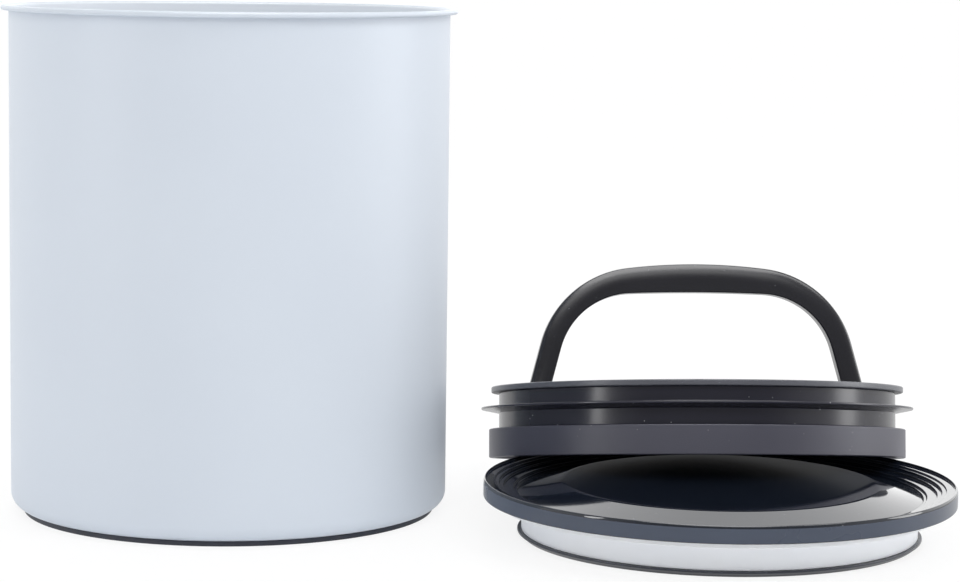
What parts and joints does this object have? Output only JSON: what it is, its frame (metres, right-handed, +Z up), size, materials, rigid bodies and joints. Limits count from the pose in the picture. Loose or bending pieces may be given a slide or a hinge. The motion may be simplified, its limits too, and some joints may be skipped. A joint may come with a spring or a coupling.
{
  "type": "coffee canister with valve",
  "caption": "Round steel food canister with a dished outer lid and a push-down inner lid, whose folding handle opens and closes a vent valve.",
  "frame": {"origin": "centre of the flat underside of the canister's base pad", "axes": "+Z up along the canister's axis, +X towards the lids that lie beside it, +Y to the back"},
  "size_m": [0.3737, 0.2627, 0.2],
  "materials": {
    "powder_coat": "satin",
    "pad_rubber": "matt",
    "smoked_plastic": "gloss",
    "pale_plastic": "satin",
    "dark_plastic": "satin",
    "skirt_plastic": "matt",
    "silicone": "gloss",
    "pin_steel": "satin"
  },
  "bodies": {
    "canister": {"canister_shell": "powder_coat", "base_pad": "pad_rubber"},
    "outer_lid": {"outer_lid": "smoked_plastic", "lid_collar": "pale_plastic", "collar_ring": "pad_rubber"},
    "inner_lid": {"plunger_body": "dark_plastic", "plunger_skirt": "skirt_plastic", "wiper_seal": "silicone", "hinge_pin": "pin_steel", "valve_cap": "dark_plastic"},
    "handle": {"handle": "dark_plastic", "valve_shaft": "pin_steel"},
    "valve": {"valve_stem": "dark_plastic", "valve_seal": "silicone"}
  },
  "joints": [
    {"name": "outer_lid_lift", "type": "slide", "parent": "canister", "child": "outer_lid", "axis": [0, 0, 1], "range_m": [0, 0.2]},
    {"name": "inner_lid_lift", "type": "slide", "parent": "outer_lid", "child": "inner_lid", "axis": [0, 0, 1], "range_m": [0, 0.15]},
    {"name": "handle_fold", "type": "hinge", "parent": "inner_lid", "child": "handle", "pos_m": [0.18959, 0.03645, 0.03705], "axis": [-0.9986, -0.0523, 0], "range_deg": [0, 90]},
    {"name": "valve_travel", "type": "slide", "parent": "inner_lid", "child": "valve", "axis": [0.0099, -0.1888, -0.982], "range_m": [0, 0.002]}
  ],
  "couplings": [
    {"joint": "valve_travel", "follows": "handle_fold", "m_per_rad": 0.0012732}
  ]
}
